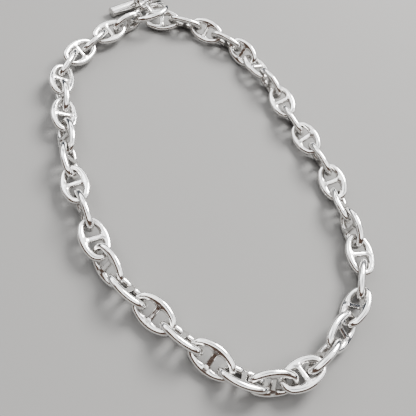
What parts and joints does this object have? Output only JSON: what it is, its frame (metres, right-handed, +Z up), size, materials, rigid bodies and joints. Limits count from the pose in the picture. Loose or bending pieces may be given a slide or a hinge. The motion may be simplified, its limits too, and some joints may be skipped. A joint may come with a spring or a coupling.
{
  "type": "mariner link chain necklace with a toggle clasp",
  "caption": "Loop of interlocked oval links, each with a stud across its middle, closed by a ring and bar; it lies on a flat surface.",
  "frame": {"origin": "bottom centre of the bounding box, on the surface that the necklace lies on", "axes": "+Z up from the surface; +Y away from the viewer, towards the clasp; +X to the viewer's right"},
  "size_m": [0.1298, 0.1598, 0.0111],
  "materials": {
    "links": "polished sterling silver",
    "clasp": "polished sterling silver"
  },
  "bodies": {
    "root": {"link_01": "links", "link_02": "links", "link_03": "links", "link_04": "links", "link_05": "links", "link_06": "links", "link_07": "links", "link_08": "links", "link_09": "links", "link_10": "links", "link_11": "links", "link_12": "links", "link_13": "links", "link_14": "links", "link_15": "links", "link_16": "links", "link_17": "links", "link_18": "links", "link_19": "links", "link_20": "links", "link_21": "links", "link_22": "links", "link_23": "links", "link_24": "links", "link_25": "links", "link_26": "links", "link_27": "links", "link_28": "links", "link_29": "links", "link_30": "links", "link_31": "links", "link_32": "links", "link_33": "links", "link_34": "links", "link_35": "links", "link_36": "links", "link_37": "links", "link_38": "links", "link_39": "links", "link_40": "links", "toggle_ring": "clasp", "toggle_bar": "clasp", "jump_ring_1": "clasp", "jump_ring_2": "clasp"}
  },
  "joints": []
}
